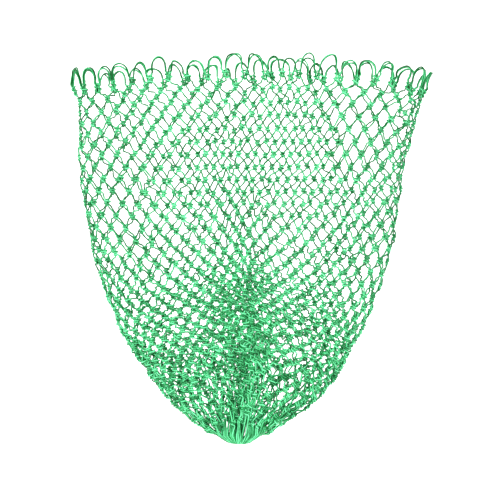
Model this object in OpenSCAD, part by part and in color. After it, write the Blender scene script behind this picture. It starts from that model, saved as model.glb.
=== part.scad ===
// Knotted net bag for a landing-net hoop: an oval diamond-mesh bag hung by a row of rim loops.
// The netting is drawn as thin curved walls, one for each stretch that moves by itself.
// Origin: centre of the hoop line, at the crowns of the rim loops. +Z is up, +X runs along the mouth's width.

/* [Mouth] */
// Width of the mouth between the end knots of the rim
mouth_w = 346; // [280:1:420]
// Depth of the mouth, front to back
mouth_d = 110; // [90:1:150]
// How far the ends of the rim flare out past the body of the bag
lip_flare = 7; // [0:0.5:12]
// Length of bag over which the flare dies away
flare_run = 25; // [15:1:40]
// Number of meshes round the bag, and so of rim loops
meshes = 42; // [34:4:50]

/* [Rim] */
// Height of a rim loop, from its knots to its crown
loop_h = 24; // [20:0.5:30]
// Thickness of the doubled twine in a rim loop
loop_twine = 2.2; // [1.6:0.1:3]
// Diameter of a rim knot
knot_d = 6.4; // [5:0.1:7.5]
// Rim knots on each side wall, between the front and back walls
side_knots = 5; // [3:2:7]

/* [Bag] */
// Overall height, from the crowns of the loops to the underside of the tail
bag_h = 388; // [320:1:470]
// Thickness of the netting, between a strand and a knot
net_t = 2.4; // [1.8:0.1:3]
// How full the bag's outline is, seen from the front; smaller is fuller
front_taper = 0.52; // [0.45:0.01:0.7]
// How much more sharply the front outline closes at the tail
tail_taper = 0.09; // [0:0.01:0.12]
// How full the bag's outline is, seen from the side; smaller is fuller
side_taper = 0.6; // [0.5:0.01:0.7]
// How far down the sides stay apart before they close, seen from the side; larger is further
side_shoulder = 2.2; // [1.8:0.1:2.6]
// Height of the waist, the belt of netting between the mouth's walls and the swinging part
waist_h = 12; // [8:0.5:20]
// Height of the lower bag, between its foot and the waist
lower_h = 74; // [60:1:90]
// Height of the lower bag's foot above the underside of the tail
tail_h = 52; // [43:1:64]

/* [Tail] */
// Height above the tail's underside at which the netting closes into a solid bunch
bunch_h = 20; // [17:0.5:24]
// Width of the round nub under the bunch
nub_d = 20; // [14:0.5:24]
// Height of the nub
nub_h = 9; // [6:0.5:10]
// Thickness of the gathering cord
cord_d = 2; // [1.5:0.1:2.5]
// How much of the room inside the tail the gathering cord's ring fills
cord_ring_share = 0.85; // [0.7:0.01:0.95]
// Diameter of the knot that ties the gathering cord
tie_knot_d = 5.6; // [4:0.1:6]
// Length of the gathering cord's two free ends
tie_end = 11; // [6:0.5:14]

/* [Motion] */
// Gap between two stretches of netting that move apart
fold_gap = 0.8; // [0.6:0.1:2]
// Radial room between the lower bag and the tail that slides up inside it
slide_gap = 1.2; // [1:0.1:2]
// Length of tail that stands inside the lower bag
tail_lap = 8; // [4:1:15]
// Largest swing of the lower bag, each way
swing_angle = 20; // [10:1:25]
// Gap between the waist and the lower bag at the ends of the swing's axis
swing_gap = 3; // [2:0.5:6]

/* [Hidden] */
$fn = 32;

net_green = [0.36, 0.68, 0.48];
loop_green = [0.2, 0.62, 0.38];
cord_green = [0.1, 0.5, 0.27];

knot_seat = knot_d * 0.375;          // flat underside of a rim knot, below its centre
rim_drop = loop_h;                   // knots of the rim, below the hoop line
wall_drop = rim_drop + knot_seat;    // top edge of the netting walls
strand_hair = 0.1;                   // room between two loop legs in one knot
lower_drop = bag_h - tail_h;         // foot of the lower bag
foot_drop = lower_drop - lower_h;    // underside of the waist and height of the swing's axis
waist_drop = foot_drop - waist_h;    // top of the waist
tail_drop = lower_drop - tail_lap;   // top edge of the tail
tail_inset = net_t + slide_gap;
bunch_drop = bag_h - bunch_h;        // top face of the bunch
nub_drop = bag_h - nub_h;            // top face of the nub
net_depth = bag_h - rim_drop;
flare_share = flare_run / net_depth;
around = 20;                         // facets along a quarter or a half of a wall
down = 7;                            // facets down an upper wall
down_low = 5;                        // facets down a lower wall

// ---- outline of the bag ----

// Share of the net's depth at a drop below the hoop line, kept just short of the closed end.
function drop_share(drop) = min(0.995, max(0, (drop - rim_drop) / net_depth));
function half_w(drop) =
    let (u = drop_share(drop), power = front_taper + tail_taper * pow(u, 6))
    (mouth_w / 2 - lip_flare) * pow(1 - u * u, power) + lip_flare * exp(-u / flare_share);
function half_d(drop) = mouth_d / 2 * pow(1 - pow(drop_share(drop), side_shoulder), side_taper);

// A point of the oval at one height, from its angle: 0 is the right end, 270 the front.
function oval(angle, drop, inset) =
    [(half_w(drop) - inset) * cos(angle), (half_d(drop) - inset) * sin(angle), -drop];
// The angle at which the oval's right front quarter reaches x.
function angle_at(x, drop, inset) = 360 - acos(min(1, x / (half_w(drop) - inset)));

// ---- rim knots, evenly spaced round the oval ----

oval_steps = 360;
rim_arc = [
    for (i = 0, s = 0; i <= oval_steps; s = s + norm(oval(i + 1, rim_drop, 0) - oval(i, rim_drop, 0)), i = i + 1)
        [s, i]
];
rim_length = rim_arc[oval_steps][0];
function wrapped(k) = (k % meshes + meshes) % meshes;
function knot_at(k) = oval(lookup(wrapped(k) / meshes * rim_length, rim_arc), rim_drop, net_t / 2);

side_reach = (side_knots - 1) / 2;                 // last side knot, counted from the end of the oval
front_first = -(meshes / 2 - side_reach - 1);      // first knot of the front wall, from the right end
front_last = -side_reach - 1;
back_first = side_reach + 1;
back_last = meshes / 2 - side_reach - 1;
fold_top = knot_at(front_last)[0] + knot_d / 2 + 1;
// Half-width of the front and back walls, which narrow to nothing at the waist.
function fold_x(drop) = fold_top * (waist_drop - drop) / (waist_drop - wall_drop);

// ---- netting wall: one closed solid between an outer and an inner grid of points ----

module netting(outer, inner) {
    rows = len(outer);
    cols = len(outer[0]);
    size = rows * cols;
    points = concat([for (row = outer) each row], [for (row = inner) each row]);
    function at(r, c) = r * cols + c;
    skin = [
        for (r = [0 : rows - 2], c = [0 : cols - 2])
            each [[at(r, c), at(r + 1, c), at(r, c + 1)], [at(r, c + 1), at(r + 1, c), at(r + 1, c + 1)]]
    ];
    rim = concat(
        [for (c = [0 : cols - 1]) at(0, c)],
        [for (r = [1 : rows - 1]) at(r, cols - 1)],
        [for (c = [cols - 2 : -1 : 0]) at(rows - 1, c)],
        [for (r = [rows - 2 : -1 : 1]) at(r, 0)]
    );
    edge = [
        for (i = [0 : len(rim) - 1])
            let (a = rim[i], b = rim[(i + 1) % len(rim)])
            each [[a, b, a + size], [b, b + size, a + size]]
    ];
    back = [for (f = skin) [f[0] + size, f[2] + size, f[1] + size]];
    polyhedron(points = points, faces = [for (f = concat(skin, edge, back)) [f[2], f[1], f[0]]]);
}

// Right front quarter of the front wall: level rows from the middle of the front to the fold.
module front_quarter() {
    foot = waist_drop - 4 * fold_gap;
    function grid(inset) = [
        for (r = [0 : down])
            let (drop = wall_drop + (foot - wall_drop) * r / down, last = angle_at(fold_x(drop), drop, inset))
            [for (c = [0 : around]) oval(270 + (last - 270) * c / around, drop, inset)]
    ];
    color(net_green) netting(grid(0), grid(net_t));
}

// Right side wall, from the front fold round to the back fold.
module side_wall() {
    function grid(inset) = [
        for (r = [0 : down])
            let (drop = wall_drop + (waist_drop - wall_drop) * r / down,
                 reach = 360 - angle_at(fold_x(drop) + fold_gap, drop, inset))
            [for (c = [0 : around]) oval(-reach + 2 * reach * c / around, drop, inset)]
    ];
    color(net_green) netting(grid(0), grid(net_t));
}

// Front half of a level band of netting. slope lowers its top edge towards the front.
module front_band(top, foot, inset, slope, rows) {
    function top_edge(angle) = top + slope * half_d(top) * abs(sin(angle));
    function grid(t) = [
        for (r = [0 : rows])
            [for (c = [0 : 2 * around])
                let (angle = 180 + 180 * c / (2 * around), edge = top_edge(angle))
                oval(angle, edge + (foot - edge) * r / rows, inset + t)]
    ];
    color(net_green) netting(grid(0), grid(net_t));
}

// Solid bunch of converging strands, from the tail's netting down to the nub.
module bunch_body() {
    rows = 6;
    cols = 2 * around;
    function ring(r) = [
        for (c = [0 : cols - 1])
            let (drop = bunch_drop + (nub_drop - bunch_drop) * r / rows,
                 depth = max(half_d(drop) - tail_inset, nub_d / 2))
            [max(half_w(drop) - tail_inset, nub_d / 2) * cos(360 * c / cols),
             min(depth, half_d(bunch_drop) - tail_inset) * sin(360 * c / cols), -drop]
    ];
    points = [for (r = [0 : rows]) each ring(r)];
    sides = [
        for (r = [0 : rows - 1], c = [0 : cols - 1])
            let (a = r * cols + c, b = r * cols + (c + 1) % cols)
            each [[a, b, a + cols], [b, b + cols, a + cols]]
    ];
    lid = [[for (c = [cols - 1 : -1 : 0]) c], [for (c = [0 : cols - 1]) rows * cols + c]];
    polyhedron(points = points, faces = concat(sides, lid));
}

// ---- rim loops and knots ----

module rim_knot(k) {
    translate(knot_at(k)) difference() {
        sphere(d = knot_d);
        translate([0, 0, -knot_seat - knot_d / 2]) cube([2 * knot_d, 2 * knot_d, knot_d], center = true);
    }
}

// One arch between knots k and k + 1. An end whose knot moves with another wall stands beside that knot.
module rim_arch(k, joined_start, joined_end) {
    start = knot_at(k);
    run = knot_at(k + 1) - start;
    beside = knot_d / 2 + loop_twine / 2 + fold_gap;
    within = loop_twine / 2 + strand_hair;
    from = joined_start ? within : beside;
    to = norm(run) - (joined_end ? within : beside);
    bend = (to - from) / 2;
    leg = loop_h - bend - loop_twine / 2;
    translate(start) rotate([0, 0, atan2(run[1], run[0])]) translate([(from + to) / 2, 0, leg]) {
        rotate([90, 0, 0]) rotate_extrude(angle = 180) translate([bend, 0]) circle(d = loop_twine);
        translate([-bend, 0, 0]) loop_leg(leg, joined_start);
        translate([bend, 0, 0]) loop_leg(leg, joined_end);
    }
}

module loop_leg(leg, joined) {
    length = joined ? leg : leg + knot_seat;
    translate([0, 0, -length]) cylinder(h = length, d = loop_twine);
}

// A run of arches over knots first to last, with the arches named by their lower knot number.
module rim_run(arch_first, arch_last, knot_first, knot_last) {
    color(loop_green) {
        for (k = [arch_first : arch_last])
            rim_arch(k, k >= knot_first, k + 1 <= knot_last);
        for (k = [knot_first : knot_last]) rim_knot(k);
    }
}

// ---- side walls, their loops, and the waist ----

module side_netting_right() { side_wall(); }
module side_netting_left() { mirror([1, 0, 0]) side_wall(); }
module side_loops_right() { rim_run(-side_reach - 1, side_reach, -side_reach, side_reach); }
module side_loops_left() { mirror([1, 0, 0]) side_loops_right(); }
module waist_netting_front() { front_band(waist_drop, foot_drop, 0, 0, 2); }
module waist_netting_back() { mirror([0, 1, 0]) waist_netting_front(); }

// ---- front and back walls and their loops ----

module front_netting_right() { front_quarter(); }
module front_netting_left() { mirror([1, 0, 0]) front_quarter(); }
module back_netting_right() { mirror([0, 1, 0]) front_quarter(); }
module back_netting_left() { mirror([0, 1, 0]) mirror([1, 0, 0]) front_quarter(); }
module front_loops() { rim_run(front_first, front_last - 1, front_first, front_last); }
module back_loops() { rim_run(back_first, back_last - 1, back_first, back_last); }

// ---- lower bag ----

module lower_netting_front() {
    front_band(foot_drop + swing_gap, lower_drop, 0, tan(swing_angle), down_low);
}
module lower_netting_back() { mirror([0, 1, 0]) lower_netting_front(); }

// ---- tail and its gathering ----

module tail_netting_front() { front_band(tail_drop, bunch_drop, tail_inset, 0, down_low); }
module tail_netting_back() { mirror([0, 1, 0]) tail_netting_front(); }
module tail_bunch() { color(net_green) bunch_body(); }

// Round nub where the last strands turn under.
module tail_nub() {
    edge = nub_h / 2;
    color(net_green) translate([0, 0, -bag_h]) rotate_extrude() {
        square([nub_d / 2 - edge, nub_h]);
        translate([0, edge]) square([nub_d / 2, nub_h - edge]);
        translate([nub_d / 2 - edge, edge]) intersection() {
            circle(r = edge);
            translate([0, -edge]) square(2 * edge);
        }
    }
}

cord_ring_r = cord_ring_share * (half_d(bunch_drop) - tail_inset - net_t - cord_d / 2);

module at_tie_knot() { translate([cord_ring_r, 0, -bunch_drop + tie_knot_d / 2]) children(); }

// Ring of cord through the last meshes, lying on the bunch and ending in the tie knot.
module gather_cord() {
    color(cord_green) difference() {
        translate([0, 0, -bunch_drop + cord_d / 2])
            rotate_extrude() translate([cord_ring_r, 0]) circle(d = cord_d);
        at_tie_knot() sphere(d = tie_knot_d);
    }
}

// Knot in the gathering cord, with its two free ends.
module gather_knot() {
    spread = 35;
    color(cord_green) at_tie_knot() {
        sphere(d = tie_knot_d);
        for (side = [-1, 1]) rotate([0, side * spread, 0]) cylinder(h = tie_end, d = cord_d);
    }
}

side_netting_left();
side_netting_right();
side_loops_left();
side_loops_right();
waist_netting_front();
waist_netting_back();
front_netting_left();
front_netting_right();
front_loops();
back_netting_left();
back_netting_right();
back_loops();
lower_netting_front();
lower_netting_back();
tail_netting_front();
tail_netting_back();
tail_bunch();
tail_nub();
gather_cord();
gather_knot();
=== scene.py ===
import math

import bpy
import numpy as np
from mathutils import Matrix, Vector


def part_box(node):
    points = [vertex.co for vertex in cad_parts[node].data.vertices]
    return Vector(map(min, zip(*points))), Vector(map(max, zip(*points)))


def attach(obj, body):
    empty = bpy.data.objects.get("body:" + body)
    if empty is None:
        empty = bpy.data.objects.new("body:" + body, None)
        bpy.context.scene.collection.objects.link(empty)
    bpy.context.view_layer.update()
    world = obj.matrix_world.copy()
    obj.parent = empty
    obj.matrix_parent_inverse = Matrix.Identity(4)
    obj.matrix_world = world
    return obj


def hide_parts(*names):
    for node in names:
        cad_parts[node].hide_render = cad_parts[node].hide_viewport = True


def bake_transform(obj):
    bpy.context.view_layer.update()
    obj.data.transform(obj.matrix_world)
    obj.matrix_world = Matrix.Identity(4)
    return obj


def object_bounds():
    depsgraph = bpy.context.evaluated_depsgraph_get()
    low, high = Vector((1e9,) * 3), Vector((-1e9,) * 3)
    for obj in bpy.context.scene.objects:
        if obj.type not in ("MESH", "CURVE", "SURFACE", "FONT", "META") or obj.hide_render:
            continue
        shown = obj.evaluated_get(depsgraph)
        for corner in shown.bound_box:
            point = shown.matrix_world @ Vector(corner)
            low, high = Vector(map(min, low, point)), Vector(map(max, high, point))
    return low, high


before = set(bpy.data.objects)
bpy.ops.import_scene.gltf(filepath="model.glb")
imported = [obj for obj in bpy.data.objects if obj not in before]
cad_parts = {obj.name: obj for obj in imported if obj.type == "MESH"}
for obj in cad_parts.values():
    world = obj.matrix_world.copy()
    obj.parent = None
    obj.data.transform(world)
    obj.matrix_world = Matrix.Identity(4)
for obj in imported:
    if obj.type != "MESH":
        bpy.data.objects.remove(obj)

# A knotted net bag for a landing-net hoop, in green nylon twine. Every course of netting is one
# continuous twine: it ties a knot on the course above, runs down to the knot below, passes through it
# as a bight, and comes back up. The knots are placed on the bag's shape and settled by a small
# spring simulation, then the twine is swept along its real path.

MM = 0.001
cad_box = [list(corner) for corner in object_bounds()]


# ---- sizes, from the frame and from the twine ----

def corner(node, which):
    return np.array(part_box(node)[which])


MESHES = 42                                     # meshes, and so columns of knots, round the bag
ROWS = 35                                       # rows of knots from the rim to the tail
BAR = 15 * MM                                   # twine between the middles of two knots
TAUT_R = 0.76 * MM                              # radius of the twine where it is stretched
SLACK_R = 0.88 * MM                             # and where it hangs loose and fluffs out
SIDES = 7                                       # sides of the swept twine
CORD_R = 1.0 * MM

LOW_Z = cad_box[0][2]                           # underside of the tail
RIM_Z = corner("front_netting_left", 1)[2]      # top edge of the netting
WAIST_Z = corner("waist_netting_front", 1)[2]   # the walls of the mouth fold here
FOLD_Z = corner("waist_netting_front", 0)[2]    # the lower bag swings here
TAIL_Z = corner("tail_netting_front", 1)[2]
MOUTH_HALF_W = corner("side_netting_right", 1)[0]
MOUTH_HALF_D = -corner("front_netting_left", 0)[1]
NUB_R = corner("tail_nub", 1)[0]
CORD_Z = (corner("gather_cord", 0)[2] + corner("gather_cord", 1)[2]) / 2
CORD_RING = corner("gather_cord", 1)[1] - CORD_R    # radius of the gathering cord's ring

rng = np.random.default_rng(11)


def smooth(t):
    t = np.clip(t, 0, 1)
    return t * t * (3 - 2 * t)


# ---- shape of the bag ----

FLARE = 7 * MM                                  # the rim's ends stand out past the body
SWAY = -7 * MM                                  # the body hangs a little left of the rim
TAIL_SWAY = -3 * MM                             # and the nub left of the body
TAUT_Z = RIM_Z - 120 * MM                       # the netting is stretched from the rim to here
SLACK_FADE = 150 * MM                           # and hangs slack this much lower
BODY_CURVE = 0.52                               # power of the outline: at 0.5 it is half an oval
TAIL_CURVE = 0.035                              # added to it at the tail, which comes in straighter
BELLY = 0.035                                   # how much fuller than that the lower body is
FLARE_FADE = 0.07                               # the flare dies out over this share of the depth


def looseness(z):
    """0 where the netting is stretched below the rim, 1 where it hangs slack."""
    return smooth((TAUT_Z - z) / SLACK_FADE)


def twine_r(z):
    """Radius of the netting's twine."""
    return TAUT_R + (SLACK_R - TAUT_R) * looseness(z)


def drop_share(z):
    """0 at the top edge of the netting, 1 at the underside of the tail."""
    return np.clip((RIM_Z - z) / (RIM_Z - LOW_Z), 0, 1)


def middle_x(z):
    """Where the middle of the bag hangs, across."""
    return SWAY * smooth((RIM_Z - z) / (100 * MM)) + TAIL_SWAY * smooth((drop_share(z) - 0.86) / 0.1)


def half_w(z):
    u = drop_share(z)
    curve = BODY_CURVE + TAIL_CURVE * u**6
    body = (MOUTH_HALF_W - FLARE) * (1 - u * u) ** curve + FLARE * np.exp(-u / FLARE_FADE)
    body = body * (1 + BELLY * smooth((u - 0.5) / 0.4))
    return (body**3 + NUB_R**3) ** (1 / 3)


def half_d(z):
    body = MOUTH_HALF_D * (1 - drop_share(z) ** 2.2) ** 0.6
    return (body**3 + (0.9 * NUB_R) ** 3) ** (1 / 3)


def on_bag(angle, z):
    """The point of the bag's surface at an angle round it, 0 at the right and -90 degrees in front."""
    x = half_w(z) * np.cos(angle) + middle_x(z)
    return np.stack([x, half_d(z) * np.sin(angle), z + np.zeros_like(x)], -1)


def even_angles():
    """A function from a share of the way round the rim's oval to its angle."""
    fine = np.linspace(0, 2 * math.pi, 1441)
    points = on_bag(fine, np.full_like(fine, RIM_Z))
    run = np.concatenate([[0], np.cumsum(np.linalg.norm(np.diff(points, axis=0), axis=1))])
    return lambda share: np.interp((share % 1) * run[-1], run, fine)


angle_of = even_angles()


def normals(points):
    """Outward direction at points near the bag's surface."""
    z = np.clip(points[..., 2], LOW_Z + 12 * MM, RIM_Z)
    x = points[..., 0] - middle_x(z)
    out = np.stack([x / half_w(z) ** 2, points[..., 1] / half_d(z) ** 2, np.zeros_like(x)], -1)
    out /= np.maximum(np.linalg.norm(out, axis=-1, keepdims=True), 1e-9)
    step = 2 * MM
    slope = (half_w(z + step) - half_w(z - step)) / (2 * step)
    out[..., 2] = -slope * np.abs(out[..., 0]) * 0.8
    return out / np.linalg.norm(out, axis=-1, keepdims=True)


# ---- knots of the netting: first places, then a spring simulation ----

TOP_STEP = 12.1 * MM                            # from row to row where the net is open
END_STEP = 14.0 * MM                            # from row to row where it is drawn straight at the tail
TAIL_RUN = 27 * MM                              # twine from the last knots to the nub
PHASE = 0.25                                    # of a mesh: the back's knots show between the front's
SLACK_ROW = 9.5                                 # rows above this one in the middle take up no slack
SIDE_ROWS = 8                                   # and so many more at the sides
DRAWN_Z = RIM_Z - 65 * MM                       # from here down the slack middle draws together
DRAWN_FADE = 160 * MM
DRAWN_SHARE = 0.5
DRAWN_HALF_W = 55 * MM


def columns():
    """Each knot's share of the way round, half a mesh on in odd rows, and its row."""
    row, col = np.mgrid[0:ROWS, 0:MESHES]
    return (col + PHASE + 0.5 * (row % 2)) / MESHES, row


def row_runs(length, outward):
    """Distance of each row down its column: the slack is taken up above the tail."""
    step = np.arange(1, ROWS)
    usual = TOP_STEP + (END_STEP - TOP_STEP) * smooth((step - ROWS + 6) / 5)
    begin = SLACK_ROW + SIDE_ROWS * outward[..., None]
    slack = smooth((step - begin) / 8) * smooth((ROWS - 1 - step) / 4)
    share = (length[..., None] - usual.sum()) / slack.sum(-1, keepdims=True)
    steps = usual + share * slack
    return np.concatenate([np.zeros(length.shape + (1,)), np.cumsum(steps, axis=-1)], -1)


def first_places():
    """Each knot on the bag's surface, straight down its own column."""
    share, row = columns()
    angle = angle_of(share)
    # closer together near the tail, where the surface turns in
    depths = RIM_Z - (RIM_Z - LOW_Z - 4 * MM) * np.sin(np.linspace(0, math.pi / 2, 240))
    path = on_bag(angle[..., None], np.broadcast_to(depths, angle.shape + depths.shape))
    steps = np.linalg.norm(np.diff(path, axis=2), axis=-1)
    run = np.concatenate([np.zeros(angle.shape + (1,)), np.cumsum(steps, axis=2)], axis=2)
    length = run[..., -1] - TAIL_RUN * rng.uniform(0.78, 1.3, MESHES)
    runs = row_runs(length, np.abs(np.cos(angle)))
    wanted = np.take_along_axis(runs, row[..., None], -1)[..., 0]
    z = np.empty_like(wanted)
    for index in np.ndindex(wanted.shape):
        z[index] = np.interp(wanted[index], run[index], depths)
    places = on_bag(angle, z)
    pull = DRAWN_SHARE * smooth((DRAWN_Z - places[..., 2]) / DRAWN_FADE)
    near = np.exp(-((places[..., 0] - SWAY) / DRAWN_HALF_W) ** 2)
    places[..., 0] = SWAY + (places[..., 0] - SWAY) * (1 - pull * near)
    return places


RIM_CROWN = 6 * MM                              # how far the middle of the rim stands up
RIM_FALL = 13 * MM                              # from the middle of the rim down to its ends
RIM_SAG = 2.8 * MM                              # a shallow dip left of the middle
SAG_FADE = 40 * MM


def rim_rise(x):
    """The rim stands higher in the middle than at its ends, and sags a little left of the middle."""
    sag = RIM_SAG * smooth((-x - 10 * MM) / SAG_FADE) * smooth((x + MOUTH_HALF_W) / SAG_FADE)
    return RIM_CROWN - RIM_FALL * (np.abs(x) / MOUTH_HALF_W) ** 2.2 - sag


def below(row):
    """Columns of the right and left neighbours in the row below."""
    col = np.arange(MESHES)
    if row % 2:
        return (col + 1) % MESHES, col
    return col, (col - 1) % MESHES


def waves(share, row, count, size):
    """A smooth random field over the netting that closes on itself round the bag."""
    total = np.zeros_like(share)
    for _ in range(count):
        around = rng.integers(2, 9)
        along = rng.uniform(0.1, 0.5)
        total += np.sin(2 * math.pi * around * share + along * row + rng.uniform(0, 6.3))
    return size * total / math.sqrt(count)


SHEET_WAVE = 2.2 * MM                           # how far the sheet waves in and out
SLACK_WAVE = 4.5 * MM                           # and the slack middle besides
SLACK_HOLLOW = 4 * MM                           # the slack middle hangs in by this
COLUMN_WAVE = 1.8 * MM                          # how far the columns wave sideways
ROW_WAVE = 2.6 * MM                             # and the rows up and down
SCATTER = 0.75 * MM                             # of single knots
CROWDED = 3.4 * MM                              # from column to column, in and out, at the tail


def uneven_places():
    """The first places, with the rim's height, the slack middle's folds and uneven knotting."""
    places = first_places()
    share, row = columns()
    fall = smooth((RIM_Z - places[..., 2]) / (RIM_Z - LOW_Z))
    above_tail = smooth((1 - fall) / 0.1)
    out = normals(places)
    middle = np.exp(-((places[..., 0] - SWAY) / (70 * MM)) ** 2)
    slack = middle * smooth((fall - 0.3) / 0.3) * above_tail
    places[..., 2] += rim_rise(places[..., 0]) * (1 - smooth((RIM_Z - places[..., 2]) / (90 * MM)))
    depth = waves(share, row, 6, SHEET_WAVE)
    depth = depth + waves(share, row, 6, SLACK_WAVE) * slack - SLACK_HOLLOW * slack
    # near the tail there is no room side by side, so every other column lies further in
    crowd = smooth((row - ROWS + 9) / 6) * np.where(np.arange(MESHES) % 2, 0, -CROWDED)
    places += out * (depth + crowd)[..., None]
    places[..., 0] += waves(share, row, 5, COLUMN_WAVE) * above_tail
    places[..., 2] += waves(share, row, 5, ROW_WAVE) * above_tail
    places += rng.normal(0, SCATTER, places.shape) * smooth((1 - fall) / 0.15)[..., None]
    return places


SPRING_ROUNDS = 140
PULL = 0.22                                     # share of a bar's stretch taken back in one round
PUSH = 0.08                                     # a bar pushes with this share of its pull
SHORT_BAR = 0.8 * BAR                           # when it is shorter than this
HOMING = 0.1                                    # share of the way back to its first place


def settled():
    """The knots' places once bars longer than the twine have pulled in; the end rows stay put."""
    places = uneven_places()
    goal = places.copy()
    held = np.zeros(places.shape[:2], bool)
    held[0] = True
    held[-1] = True
    for _ in range(SPRING_ROUNDS):
        move = np.zeros_like(places)
        for r in range(ROWS - 1):
            for side in below(r):
                gap = places[r + 1, side] - places[r]
                length = np.linalg.norm(gap, axis=-1, keepdims=True)
                over = np.maximum(length - BAR, 0) + PUSH * np.minimum(length - SHORT_BAR, 0)
                push = PULL * over * gap / np.maximum(length, 1e-9)
                move[r] += push
                np.add.at(move[r + 1], side, -push)
        move[held] = 0
        places += move + HOMING * (goal - places) * ~held[..., None]
    return places


knots = settled()


KNOT_TURN = 0.22                                # spread of the knots' turns in the sheet, in radians
KNOT_TILT = 0.28                                # and out of it


def knot_frames():
    """Each knot's right, up and outward directions, with a small random turn and tilt."""
    up = np.zeros_like(knots)
    for r in range(ROWS - 1):
        for side in below(r):
            gap = knots[r] - knots[r + 1, side]
            up[r] += gap
            np.add.at(up[r + 1], side, gap)
    up /= np.linalg.norm(up, axis=-1, keepdims=True)
    out = normals(knots)
    out -= up * (out * up).sum(-1, keepdims=True)
    out /= np.linalg.norm(out, axis=-1, keepdims=True)
    right = np.cross(up, out)
    turn = rng.normal(0, KNOT_TURN, knots.shape[:2])[..., None]
    tilt = rng.normal(0, KNOT_TILT, knots.shape[:2])[..., None]
    right, up = right * np.cos(turn) + up * np.sin(turn), up * np.cos(turn) - right * np.sin(turn)
    right, out = right * np.cos(tilt) + out * np.sin(tilt), out * np.cos(tilt) - right * np.sin(tilt)
    return right, up, out


right_dir, up_dir, out_dir = knot_frames()


# ---- the twine's path through a knot, in millimetres right, up and outward of its middle ----

KNOT_SIZE = 1.24
LOOSE_KNOT = 1.08                               # how much bigger a slack knot is
RIM_KNOT = (1.35, 1.5, 1.5)                     # and a rim knot, across, up and outward
TIGHT_KNOT = 0.88                               # a knot of the last row is pulled tight
TIGHT_ROWS = 6

# A double sheet bend: up through the bight, twice round behind it, and down across the front.
BEND = np.array([
    (-2.6, -3.1, 0.0), (-1.4, -1.9, -0.5), (0.0, -0.3, -0.1), (0.8, 1.6, 0.7), (1.6, 2.35, 0.5),
    (2.0, 2.3, -0.2), (1.0, 2.15, -1.0), (-1.0, 1.95, -1.0), (-2.0, 1.6, -0.2), (-1.5, 1.2, 0.8),
    (0.0, 0.85, 1.1), (1.5, 0.55, 0.8), (2.1, 0.2, -0.2), (1.0, -0.1, -1.0), (-1.0, -0.45, -1.0),
    (-2.1, -0.8, -0.2), (-1.5, -1.25, 0.8), (0.0, -1.6, 1.1), (1.4, -2.1, 0.6), (2.6, -3.1, 0.1),
]) * KNOT_SIZE * MM
BIGHT = np.array([
    (-2.6, 3.3, 0.0), (-1.3, 2.1, 0.05), (-0.95, 0.3, 0.05), (-0.85, -1.5, 0.15), (0.0, -2.4, 0.3),
    (0.85, -1.5, 0.15), (0.95, 0.3, 0.05), (1.3, 2.1, 0.05), (2.6, 3.3, 0.0),
]) * KNOT_SIZE * MM


def openings():
    """How far the twines leaving each knot spread, against a half-open mesh."""
    sideways = np.zeros(knots.shape[:2])
    downward = np.zeros(knots.shape[:2])
    for r in range(ROWS - 1):
        for side in below(r):
            gap = knots[r + 1, side] - knots[r]
            sideways[r] += np.abs((gap * right_dir[r]).sum(-1))
            downward[r] += np.abs((gap * up_dir[r]).sum(-1))
    sideways[-1], downward[-1] = sideways[-2], downward[-2]
    return np.clip(1.3 * sideways / np.maximum(downward, 1 * MM), 0.35, 1.3)


def knot_sizes():
    """How much bigger than usual each knot is, across, up and outward."""
    size = rng.uniform(0.92, 1.1, (ROWS, MESHES)) * (1 + (LOOSE_KNOT - 1) * looseness(knots[..., 2]))
    size[-TIGHT_ROWS:] *= np.linspace(1.0, TIGHT_KNOT, TIGHT_ROWS)[:, None]
    size = size[..., None] * np.ones(3)
    size[0] *= RIM_KNOT
    return size


opening = openings()
opening[0] *= 0.7                               # the rim's loops leave their knots close together
knot_size = knot_sizes()


def placed(shape, row, col, size):
    """A knot shape moved to knots (row, col), one path for each; its ends spread with the opening."""
    ends = smooth((np.abs(shape[:, 1]) / (KNOT_SIZE * MM) - 1.2) / 1.6)
    local = shape * size[:, None]
    local[..., 0] *= 1 + (opening[row, col][:, None] - 1) * ends
    basis = np.stack([right_dir[row, col], up_dir[row, col], out_dir[row, col]], 1)
    return knots[row, col][:, None] + np.einsum("nkj,njc->nkc", local, basis)


FREE = BAR - 8.4 * MM                           # twine of a bar outside its two knots
MOST_BOW = 3.4 * MM                             # how far a loose bar bows out at most
BAR_POINTS = (0.25, 0.5, 0.75)                  # where its path is set, as shares of the gap


def bars(start, end, sag_dir):
    """Points of each stretch between two knots, bowed where the twine is longer than the gap."""
    gap = end - start
    length = np.linalg.norm(gap, axis=-1, keepdims=True)
    # a little less than the height of a triangle of twine over the gap
    bow = 0.45 * np.sqrt(np.maximum(FREE**2 - length**2, 0))
    lean = rng.normal(0, 1, gap.shape) * 0.8 + sag_dir * 0.4
    lean -= gap * (lean * gap).sum(-1, keepdims=True) / length**2
    lean /= np.maximum(np.linalg.norm(lean, axis=-1, keepdims=True), 1e-9)
    slack = 0.3 + 0.7 * smooth((TAUT_Z - start[:, 2:]) / (120 * MM))
    lean *= np.minimum(bow, MOST_BOW) * slack * rng.uniform(0.55, 1.0, (len(gap), 1))
    return np.stack([start + gap * t + lean * 4 * t * (1 - t) for t in BAR_POINTS], 1)


def course(row, hung):
    """Path of one course: this row's knots tied on, and what hangs from each pair of them."""
    tied = placed(BEND, row, np.arange(MESHES), knot_size[row])
    onward = np.roll(tied, -1, axis=0)
    fall = bars(tied[:, -1], hung[:, 0], out_dir[row])
    rise = bars(hung[:, -1], onward[:, 0], out_dir[row])
    return np.concatenate([tied, fall, hung, rise], 1).reshape(-1, 3)


def bights_below(row):
    """This row's bights through the knots of the row below."""
    col = below(row)[0]
    return placed(BIGHT, row + 1, col, knot_size[row + 1, col])


# ---- rings of twine along a closed path ----

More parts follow.
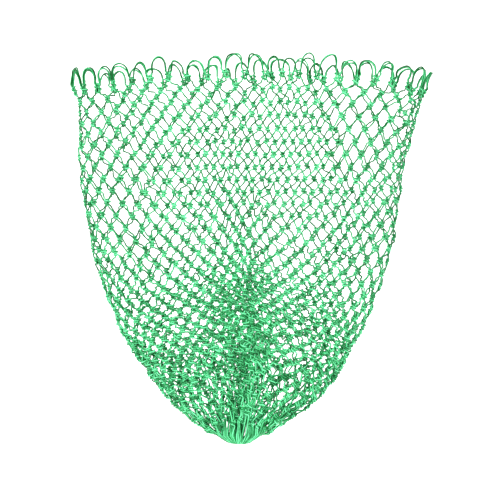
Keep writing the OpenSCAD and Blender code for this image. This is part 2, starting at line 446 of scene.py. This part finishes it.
def spline(points, marks):
    """A smooth closed curve through points (course, n, 3), at marks, which count points along it."""
    n = points.shape[1]
    k = np.floor(marks).astype(int)
    t = (marks - k)[None, :, None]
    a, b, c, d = (points[:, (k + o) % n] for o in (-1, 0, 1, 2))
    curve = (2 * a - 5 * b + 4 * c - d) * t**2 + (3 * b - a - 3 * c + d) * t**3
    return 0.5 * (2 * b + (c - a) * t + curve)


def carried_frames(points, closed):
    """Two directions across the path at each point, carried along it without turning."""
    if closed:
        along = np.roll(points, -1, axis=1) - np.roll(points, 1, axis=1)
    else:
        along = np.gradient(points, axis=1)
    along /= np.maximum(np.linalg.norm(along, axis=-1, keepdims=True), 1e-12)
    across = np.empty_like(points)
    seed = np.cross(along[:, 0], (0.31, 0.52, 0.79))
    across[:, 0] = seed / np.linalg.norm(seed, axis=-1, keepdims=True)
    for i in range(1, points.shape[1]):
        moved = across[:, i - 1] - along[:, i] * (across[:, i - 1] * along[:, i]).sum(-1, keepdims=True)
        across[:, i] = moved / np.maximum(np.linalg.norm(moved, axis=-1, keepdims=True), 1e-12)
    return along, across, np.cross(along, across)


PLIES = 2
PLY_PITCH = 4.2 * MM                            # one turn of the plies round the twine
PLY_SHAPE = 0.13                                # how far the plies stand out of round


class Twine:
    """Swept twine, gathered as arrays of vertices, faces and texture places."""

    def __init__(self):
        self.points, self.faces, self.uvs, self.loose, self.count = [], [], [], [], 0

    def add(self, points, radius, loose, closed=True):
        """Sweeps paths (course, n, 3) and adds them."""
        paths, n = points.shape[:2]
        along, across, beside = carried_frames(points, closed)
        ahead = np.roll(points, -1, axis=1) - points
        steps = np.linalg.norm(ahead, axis=-1)
        run = np.concatenate([np.zeros((paths, 1)), np.cumsum(steps, axis=1)], 1)
        if closed:
            # the carried frame comes round turned by some angle, which is spread over the path
            start = across[:, 0] - along[:, -1] * (across[:, 0] * along[:, -1]).sum(-1, keepdims=True)
            missed = np.arctan2((start * beside[:, -1]).sum(-1), (start * across[:, -1]).sum(-1))
            whole = np.round(run[:, n] / PLY_PITCH)
            turn = 2 * math.pi * whole[:, None] * run[:, :n] / run[:, n:]
            skew = missed[:, None] * run[:, :n] / run[:, n:]
        else:
            turn = 2 * math.pi * run[:, :n] / PLY_PITCH
            skew = np.zeros((paths, n))
        theta = np.arange(SIDES) * 2 * math.pi / SIDES
        ring = theta + skew[..., None]
        size = np.broadcast_to(radius, (paths, n))[..., None]
        reach = size * (1 + PLY_SHAPE * np.cos(PLIES * (theta - turn[..., None])))
        skin = points[:, :, None] + reach[..., None] * (
            np.cos(ring)[..., None] * across[:, :, None] + np.sin(ring)[..., None] * beside[:, :, None])
        last = n if closed else n - 1
        p, i, s = np.meshgrid(np.arange(paths), np.arange(last), np.arange(SIDES), indexing="ij")
        ahead_i, ahead_s = (i + 1) % n, (s + 1) % SIDES
        here, there = self.count + (p * n + i) * SIDES, self.count + (p * n + ahead_i) * SIDES
        faces = np.stack([here + s, here + ahead_s, there + ahead_s, there + s], -1).reshape(-1, 4)
        v0, v1 = run[p, i], run[p, i + 1]
        u0, u1 = s / SIDES, (s + 1) / SIDES
        uv = np.stack([np.stack(c, -1) for c in ((u0, v0), (u1, v0), (u1, v1), (u0, v1))], -2)
        self.points.append(skin.reshape(-1, 3))
        self.faces.append(faces)
        self.uvs.append(uv.reshape(-1, 4, 2))
        self.loose.append(np.repeat(np.broadcast_to(loose, (paths, n)).ravel(), SIDES))
        self.count += paths * n * SIDES

    def arrays(self):
        return [np.concatenate(part) for part in (self.points, self.faces, self.uvs, self.loose)]


# ---- netting: every course, and the last one drawn up on the gathering cord ----

def hairpins(col):
    """The last course's hairpins: down over the nub, up inside it, and over the gathering cord."""
    nub = NUB_R - TAUT_R
    turn = CORD_R + TAUT_R
    # half width, half depth and height of the ovals that the hairpins pass through
    profile = np.array([
        (nub * 2.5, nub * 1.4, LOW_Z + 9.5 * MM), (nub * 1.75, nub * 1.2, LOW_Z + 4.6 * MM),
        (nub * 1.25, nub * 1.05, LOW_Z + 1.6 * MM), (nub * 0.88, nub * 0.8, LOW_Z + TAUT_R),
        (nub * 0.42, nub * 0.38, LOW_Z + 3 * MM), (nub * 0.38, nub * 0.34, LOW_Z + 9 * MM),
        (CORD_RING - turn, CORD_RING - turn, CORD_Z), (CORD_RING, CORD_RING, CORD_Z + turn),
        (CORD_RING + turn, CORD_RING + turn, CORD_Z),
    ])
    # the two legs of a hairpin stand this far to either side of its middle
    leg = np.linspace(0.8, 0.55, len(profile) - 1) * MM
    side = np.concatenate([-leg, [0], leg[::-1]])
    both = np.concatenate([profile, profile[-2::-1]])
    # each hairpin stands a little out of its even place round the nub
    spin = 2 * math.pi * (col + PHASE + 0.5 + 0.5 * ((ROWS - 1) % 2)) / MESHES
    spin = spin + rng.normal(0, 0.05, len(col))
    pinch = 1 + rng.uniform(-0.16, 0.04, len(col))[:, None] * (both[:, 0] < nub * 1.4)
    height = both[:, 2] + rng.uniform(0, 0.7 * MM, len(col))[:, None]
    x = both[:, 0] * pinch * np.cos(spin)[:, None] - side * np.sin(spin)[:, None] + middle_x(LOW_Z)
    y = both[:, 1] * pinch * np.sin(spin)[:, None] + side * np.cos(spin)[:, None]
    return np.stack([x, y, height], -1)


def marks_for(count, fine):
    """Where rings stand along count points: twice as close over the points in fine."""
    marks = []
    for point in range(count):
        marks.append(point)
        if point in fine:
            marks.append(point + 0.5)
    return np.array(marks, float)


def all_marks(count, fine):
    """The same marks in every mesh of a course."""
    one = marks_for(count, fine)
    return np.concatenate([one + count * mesh for mesh in range(MESHES)])


def knotted(marks, count, spans):
    """1 in a knot and 0 between two knots, at marks along a course of count points for each mesh."""
    place = marks % count
    return sum(smooth(place - first) * smooth(last - place) for first, last in spans)


def netting():
    twine = Twine()
    # the bend's turns are tight, and its ends are not
    fine = range(2, len(BEND) - 2)
    courses = np.stack([course(row, bights_below(row)) for row in range(ROWS - 1)])
    count = courses.shape[1] // MESHES
    marks = all_marks(count, fine)
    bight_from = len(BEND) + len(BAR_POINTS)
    spans = ((0, len(BEND) - 1), (bight_from, bight_from + len(BIGHT) - 1))
    path = spline(courses, marks)
    loose = np.maximum(knotted(marks, count, spans), looseness(path[..., 2]))
    twine.add(path, twine_r(path[..., 2]), loose)
    last = course(ROWS - 1, hairpins(np.arange(MESHES)))[None]
    path = spline(last, all_marks(last.shape[1] // MESHES, fine))
    # the hairpins lie pressed together on the nub
    above_nub = smooth((path[..., 2] - LOW_Z) / (20 * MM))
    twine.add(path, TAUT_R + (SLACK_R - TAUT_R) * above_nub, 1)
    return twine


# ---- rim: turns of twine that arch from knot to knot ----

STRANDS = 2
STRAND_GAP = 1.3 * MM                           # between the strands' middles, in and out
RIM_R = TAUT_R * 1.08
ARCH_POINTS = 9
ARCH_H = 12 * MM                                # an arch above the knots' bights
END_EXTRA = 3 * MM                              # at the rim's ends arches are higher and lean out
TURNED_LOOPS = 6                                # loops that show their edge
ARCH_LOOSE = 0.35                               # the arches' twine is nearer taut than slack


def arches(a, b, tall, width, skew, tip, twist):
    """Arches from points a to points b, where width is their widest part as a share of half the gap."""
    chord = b - a
    flat = np.linalg.norm(chord, axis=-1, keepdims=True)
    along = chord / flat
    middle = (a + b) / 2
    out = normals(middle)
    out[:, 2] = 0
    out /= np.linalg.norm(out, axis=-1, keepdims=True)
    up = np.cross(out, along)
    up *= np.sign(up[:, 2:])
    theta = math.pi * (1 - np.linspace(0.06, 0.94, ARCH_POINTS))
    rise = np.sin(theta)
    base = flat[:, 0] / 2
    half = base[:, None] * (1 + (width[:, None] - 1) * rise)
    sideways = half * np.cos(theta) + skew[:, None] * rise**2
    outward = tip[:, None] * rise**2
    # the loops twist about their own height
    turn = twist[:, None] * rise
    reach = sideways + outward * (out * along).sum(-1, keepdims=True)
    sideways = sideways + reach * (np.cos(turn) - 1)
    outward = outward + reach * np.sin(turn)
    return (middle[:, None]
            + along[:, None] * sideways[..., None]
            + up[:, None] * (tall[:, None] * rise)[..., None]
            + out[:, None] * outward[..., None])


def rim_strands():
    """A bight through every rim knot and an arch over to the next one, in strands side by side."""
    col = np.arange(MESHES)
    height = ARCH_H + rng.normal(0, 1.5 * MM, MESHES)
    width = rng.uniform(1.0, 1.3, MESHES)
    edge_on = rng.choice(MESHES, TURNED_LOOPS, replace=False)
    turned = rng.uniform(0.7, 1.15, MESHES) * rng.choice((-1, 1), MESHES)
    twist = np.where(np.isin(col, edge_on), turned, 0.3 * turned)
    lean_out = rng.normal(0.4, 2.6, MESHES) * MM
    lean_side = rng.normal(0, 1.6, MESHES) * MM
    ends = (np.abs(knots[0, :, 0]) / MOUTH_HALF_W) ** 4 * END_EXTRA
    twine = Twine()
    for strand in range(STRANDS):
        shift = (strand - (STRANDS - 1) / 2) * STRAND_GAP
        bight = placed(BIGHT, 0, col, knot_size[0]) + out_dir[0][:, None] * shift
        tall = height + ends + rng.normal(0, 0.9 * MM, MESHES)
        wide = width * rng.uniform(0.93, 1.07, MESHES)
        skew = lean_side + rng.normal(0, 1.1 * MM, MESHES)
        tip = lean_out + ends + rng.normal(0, 1.1 * MM, MESHES)
        arch = arches(bight[:, -1], np.roll(bight[:, 0], -1, axis=0), tall, wide, skew, tip, twist)
        path = np.concatenate([bight, arch], 1).reshape(1, -1, 3)
        bight_end = len(BIGHT) - 1
        count = path.shape[1] // MESHES
        marks = all_marks(count, range(bight_end, bight_end + ARCH_POINTS + 1))
        loose = ARCH_LOOSE + (1 - ARCH_LOOSE) * knotted(marks, count, [(0, bight_end)])
        twine.add(spline(path, marks), RIM_R, loose)
    return twine


# ---- Blender meshes ----

def mesh_piece(name, points, faces, uvs, loose, material):
    """A smooth mesh. Its map has turns round the twine as u, and metres along it as v."""
    used, index = np.unique(faces, return_inverse=True)
    index = index.reshape(faces.shape)
    mesh = bpy.data.meshes.new(name)
    mesh.vertices.add(len(used))
    mesh.vertices.foreach_set("co", points[used].astype(np.float32).ravel())
    mesh.loops.add(index.size)
    mesh.loops.foreach_set("vertex_index", index.astype(np.int32).ravel())
    mesh.polygons.add(len(index))
    mesh.polygons.foreach_set("loop_start", np.arange(0, index.size, 4, dtype=np.int32))
    mesh.polygons.foreach_set("use_smooth", np.ones(len(index), bool))
    mesh.update(calc_edges=True)
    layer = mesh.uv_layers.new(name="twine")
    layer.data.foreach_set("uv", uvs.astype(np.float32).ravel())
    tension = mesh.attributes.new("loose", "FLOAT", "POINT")
    tension.data.foreach_set("value", loose[used].astype(np.float32))
    mesh.validate()
    mesh.materials.append(material)
    piece = bpy.data.objects.new(name, mesh)
    bpy.context.scene.collection.objects.link(piece)
    return piece


def quarters(points, faces):
    """The middle of each face, and whether it is in the front or back, left or right of the bag."""
    middle = points[faces].mean(axis=1)
    names = np.where(middle[:, 1] < 0, "front", "back"), np.where(middle[:, 0] < 0, "left", "right")
    return middle, names


# ---- materials ----

def twine_material(name, colour, dark_dye_and_shade, pale):
    """Nylon twine: fibres and fine grooves in colour and bump, with the grooves painted as shade and
    the plies' crowns as highlights, and uneven dye.
    """
    material = bpy.data.materials.new(name)
    material.use_nodes = True
    nodes, links = material.node_tree.nodes, material.node_tree.links
    shader = nodes["Principled BSDF"]
    shader.inputs["Roughness"].default_value = 0.36
    shader.inputs["Sheen Weight"].default_value = 0.04
    shader.inputs["Sheen Roughness"].default_value = 0.4
    shader.inputs["Specular IOR Level"].default_value = 0.2

    def node(kind, **values):
        made = nodes.new(kind)
        for key, value in values.items():
            setattr(made, key, value)
        return made

    def math_node(operation, first, second=None):
        made = node("ShaderNodeMath", operation=operation)
        for socket, value in zip(made.inputs, (first, second)):
            if value is None:
                continue
            if isinstance(value, (int, float)):
                socket.default_value = value
            else:
                links.new(value, socket)
        return made.outputs[0]

    uv = node("ShaderNodeUVMap", uv_map="twine")
    split = node("ShaderNodeSeparateXYZ")
    links.new(uv.outputs[0], split.inputs[0])
    around, along = split.outputs[0], split.outputs[1]
    # the map counts metres, so these grooves run nearly straight along the twine
    slant = math_node("SUBTRACT", around, along)
    ply = math_node("COSINE", math_node("MULTIPLY", slant, 2 * math.pi * PLIES))
    slant = math_node("ADD", math_node("MULTIPLY", around, 9), math_node("MULTIPLY", along, 5))
    yarn = math_node("COSINE", math_node("MULTIPLY", slant, 2 * math.pi))
    place = node("ShaderNodeTexCoord")
    fibre = node("ShaderNodeTexNoise")
    fibre.inputs["Scale"].default_value = 2600
    fibre.inputs["Detail"].default_value = 2
    links.new(place.outputs["Object"], fibre.inputs["Vector"])
    dye = node("ShaderNodeTexNoise")
    dye.inputs["Scale"].default_value = 75
    dye.inputs["Detail"].default_value = 3
    links.new(place.outputs["Object"], dye.inputs["Vector"])
    # in the colour the plies' pattern is painted shade in the grooves between them and painted
    # highlight on their crowns, and the yarns' cross grooves are painted the same way
    tone = math_node("ADD", math_node("MULTIPLY", ply, 0.34), math_node("MULTIPLY", yarn, 0.08))
    tone = math_node("ADD", tone, math_node("MULTIPLY", fibre.outputs[0], 0.4))
    tone = math_node("ADD", tone, math_node("MULTIPLY", dye.outputs[0], 0.9))
    # twine between knots in the stretched netting is made darker than in knots and where the netting
    # hangs slack
    tension = node("ShaderNodeAttribute", attribute_name="loose")
    darker = math_node("MULTIPLY", math_node("SUBTRACT", tension.outputs["Fac"], 1), 0.3)
    tone = math_node("ADD", tone, darker)
    # the ramp's dark end is dark dye and painted shade, its pale end pale dye and painted highlight
    ramp = node("ShaderNodeValToRGB")
    ramp.color_ramp.elements[0].position = 0.3
    ramp.color_ramp.elements[0].color = (*dark_dye_and_shade, 1)
    ramp.color_ramp.elements[1].position = 1.0
    ramp.color_ramp.elements[1].color = (*pale, 1)
    ramp.color_ramp.elements.new(0.62).color = (*colour, 1)
    links.new(tone, ramp.inputs[0])
    links.new(ramp.outputs[0], shader.inputs["Base Color"])
    bump = node("ShaderNodeBump")
    bump.inputs["Strength"].default_value = 0.6
    bump.inputs["Distance"].default_value = 0.00015
    height = math_node("ADD", ply, math_node("MULTIPLY", yarn, 0.4))
    links.new(height, bump.inputs["Height"])
    links.new(bump.outputs[0], shader.inputs["Normal"])
    return material


# each twine's middle colour, then its dark dye and painted shade, then its pale dye and painted
# highlight
NET = twine_material("net_twine", (0.012, 0.38, 0.1), (0.0006, 0.085, 0.014), (0.2, 0.92, 0.45))
RIM = twine_material("rim_twine", (0.009, 0.35, 0.088), (0.0006, 0.08, 0.012), (0.16, 0.85, 0.38))
CORD = twine_material("gather_twine", (0.03, 0.28, 0.1), (0.01, 0.1, 0.03), (0.12, 0.5, 0.25))


# ---- the netting and rim cut into pieces, and the gathering cord hung on the tail ----

SWING_END = (FOLD_Z + TAIL_Z) / 2               # the lower bag is whole from here down


def mouth_blend(piece):
    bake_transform(piece)


def make_netting():
    points, faces, uvs, loose = netting().arrays()
    middle, (face_names, hand_names) = quarters(points, faces)
    under_waist = np.where(middle[:, 2] >= SWING_END, "lower", "tail")
    level = np.where(middle[:, 2] >= WAIST_Z, "upper", under_waist)
    for face in ("front", "back"):
        for hand in ("left", "right"):
            quarter = (face_names == face) & (hand_names == hand)
            for part in ("upper", "lower", "tail"):
                chosen = quarter & (level == part)
                name = f"net_{part}_{face}_{hand}"
                piece = mesh_piece(name, points, faces[chosen], uvs[chosen], loose, NET)
                if part == "upper":
                    mouth_blend(piece)
                    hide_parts(f"{face}_netting_{hand}", f"side_netting_{hand}")
                elif part == "lower":
                    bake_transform(piece)
                    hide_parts(f"waist_netting_{face}", f"lower_netting_{face}")
                else:
                    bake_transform(piece)
                    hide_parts(f"tail_netting_{face}", "tail_bunch", "tail_nub")


def make_rim():
    points, faces, uvs, loose = rim_strands().arrays()
    _, (face_names, hand_names) = quarters(points, faces)
    for face in ("front", "back"):
        for hand in ("left", "right"):
            chosen = (face_names == face) & (hand_names == hand)
            piece = mesh_piece(f"rim_{face}_{hand}", points, faces[chosen], uvs[chosen], loose, RIM)
            mouth_blend(piece)
            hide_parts(f"{face}_loops", f"side_loops_{hand}")


def make_gathering():
    """The gathering cord's ring, its knot, and the cord's two free ends."""
    knot_gap = 0.35                             # the ring stops this angle short of the knot's middle
    around = np.linspace(knot_gap, 2 * math.pi - knot_gap, 40)
    middle = middle_x(CORD_Z)
    wave = CORD_Z + 0.3 * MM * np.sin(3 * around)
    ring = np.stack([CORD_RING * np.cos(around) + middle, CORD_RING * np.sin(around), wave], -1)
    cord = Twine()
    cord.add(ring[None], CORD_R, 1, closed=False)
    piece = mesh_piece("gathering_cord", *cord.arrays(), CORD)
    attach(piece, "tail")
    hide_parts("gather_cord")
    # t runs from one free end to the other, and the knot's turns are between -wound and wound
    end, wound = 1.25, 0.8
    t = np.linspace(-end, end, 44)
    turn = 2.4 * math.pi * t / end
    bulge = 2.1 * MM
    spread = 5 * MM                             # the free ends part by this much to either side
    tail = np.maximum(np.abs(t) - wound, 0) / (end - wound)
    knot_z = CORD_Z + 1.6 * MM
    rise = corner("gather_knot", 1)[2] - knot_z - CORD_R
    x = CORD_RING + middle + bulge * 0.9 * np.cos(turn * 0.5) * (1 - tail)
    y = np.sign(t) * tail * spread + bulge * np.sin(turn) * (1 - tail)
    height = knot_z + bulge * 0.8 * np.sin(turn * 0.5) * (1 - tail) + tail * rise
    tie = Twine()
    tie.add(np.stack([x, y, height], -1)[None], CORD_R * 0.95, 1, closed=False)
    piece = mesh_piece("gathering_knot", *tie.arrays(), CORD)
    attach(piece, "tail")
    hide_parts("gather_knot")


make_netting()
make_rim()
make_gathering()


# ---- stage, lights and camera ----

def make_stage():
    """A pale floor that sweeps up into a backdrop."""
    floor_z = LOW_Z - 0.16
    floor_front, floor_back = -2.2, 0.9
    sweep = 0.7                                 # radius of the curve from the floor to the backdrop
    height = 3
    half_width = 3
    profile = [(floor_front, floor_z), (floor_back, floor_z)]
    for a in np.linspace(0.1, math.pi / 2, 14):
        profile.append((floor_back + sweep * math.sin(a), floor_z + sweep * (1 - math.cos(a))))
    profile.append((floor_back + sweep, floor_z + height))
    verts = [(x, y, z) for y, z in profile for x in (-half_width, half_width)]
    faces = [(2 * i, 2 * i + 1, 2 * i + 3, 2 * i + 2) for i in range(len(profile) - 1)]
    mesh = bpy.data.meshes.new("backdrop")
    mesh.from_pydata(verts, [], faces)
    mesh.polygons.foreach_set("use_smooth", np.ones(len(faces), bool))
    material = bpy.data.materials.new("backdrop_paper")
    material.use_nodes = True
    shader = material.node_tree.nodes["Principled BSDF"]
    shader.inputs["Base Color"].default_value = (0.93, 0.93, 0.93, 1)
    shader.inputs["Roughness"].default_value = 0.9
    shader.inputs["Emission Color"].default_value = (1, 1, 1, 1)
    shader.inputs["Emission Strength"].default_value = 0.5
    mesh.materials.append(material)
    backdrop = bpy.data.objects.new("backdrop", mesh)
    bpy.context.scene.collection.objects.link(backdrop)


def area_light(name, place, target, size, power):
    """A round lamp that faces its target."""
    light = bpy.data.lights.new(name, "AREA")
    light.shape = "DISK"
    light.size = size
    light.energy = power
    lamp = bpy.data.objects.new(name, light)
    lamp.location = place
    lamp.rotation_euler = (Vector(target) - Vector(place)).to_track_quat("-Z", "Y").to_euler()
    bpy.context.scene.collection.objects.link(lamp)


def make_world():
    """Soft light from all round, which is white where the camera sees past the backdrop."""
    world = bpy.data.worlds.new("studio")
    world.use_nodes = True
    nodes, links = world.node_tree.nodes, world.node_tree.links
    background = nodes["Background"]
    background.inputs["Color"].default_value = (1, 1, 1, 1)
    path = nodes.new("ShaderNodeLightPath")
    strength = nodes.new("ShaderNodeMapRange")
    strength.inputs["To Min"].default_value = 0.5
    strength.inputs["To Max"].default_value = 1.0
    links.new(path.outputs["Is Camera Ray"], strength.inputs["Value"])
    links.new(strength.outputs["Result"], background.inputs["Strength"])
    bpy.context.scene.world = world


def make_camera():
    """A long lens a little above level, with the bag where the photo has it."""
    distance = 1.7
    elevation = math.radians(3)
    view_height = 0.5                           # at the target, from the picture's bottom to its top
    target = Vector((0.001, 0, -0.193))
    data = bpy.data.cameras.new("camera")
    data.sensor_width = 36
    data.lens = data.sensor_width * distance / view_height
    camera = bpy.data.objects.new("camera", data)
    camera.location = target + distance * Vector((0, -math.cos(elevation), math.sin(elevation)))
    camera.rotation_euler = (target - camera.location).to_track_quat("-Z", "Y").to_euler()
    bpy.context.scene.collection.objects.link(camera)
    bpy.context.scene.camera = camera


make_stage()
bag_middle = (0, 0, -0.2)
area_light("key", (-0.9, -1.3, 1.1), bag_middle, 0.5, 34)
area_light("fill", (1.2, -1.1, 0.3), bag_middle, 1.2, 10)
area_light("back", (0.2, 1.0, 1.2), bag_middle, 1.0, 14)
make_world()
bpy.context.scene.view_settings.view_transform = "Standard"
make_camera()
